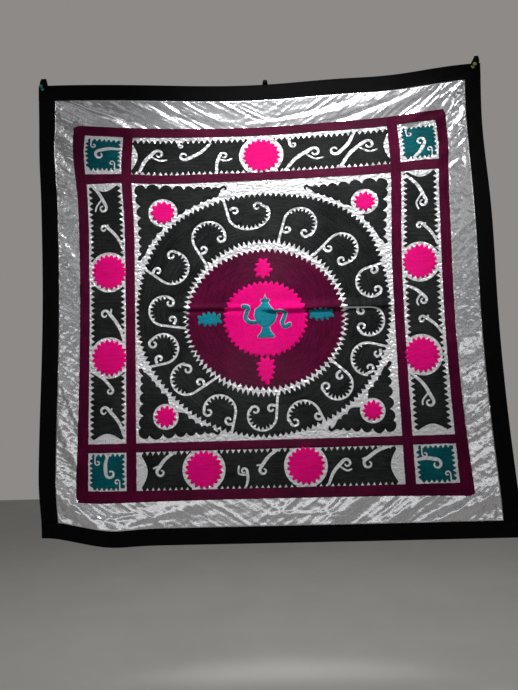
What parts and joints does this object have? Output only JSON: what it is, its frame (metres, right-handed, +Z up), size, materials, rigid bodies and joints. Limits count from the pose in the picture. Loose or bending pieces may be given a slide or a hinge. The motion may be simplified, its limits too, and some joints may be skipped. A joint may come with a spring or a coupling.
{
  "type": "square embroidered satin wall hanging with black border and push pins",
  "caption": "Hanging square of white satin, sewn all over with teal, pink, black and burgundy chain stitch, edged in black and hung by its top corners from push pins.",
  "frame": {"origin": "on the wall plane, half way between the two pins", "axes": "+Z up the cloth, +X to the viewer's right, -Y out of the embroidered face"},
  "size_m": [1.1653, 0.0298, 1.206],
  "materials": {
    "satin": "glossy satin weave",
    "border_cotton": "dull cotton",
    "tape": "dull woven tape",
    "teal_plastic": "moulded",
    "olive_plastic": "moulded",
    "needle_steel": "polished"
  },
  "bodies": {
    "root": {"satin_ground": "satin", "border_top": "border_cotton", "border_bottom": "border_cotton", "border_left": "border_cotton", "border_right": "border_cotton", "loop_left": "tape", "loop_centre": "tape", "loop_right": "tape", "pin_left": "teal_plastic", "needle_left": "needle_steel", "pin_right": "olive_plastic", "needle_right": "needle_steel"}
  },
  "joints": []
}
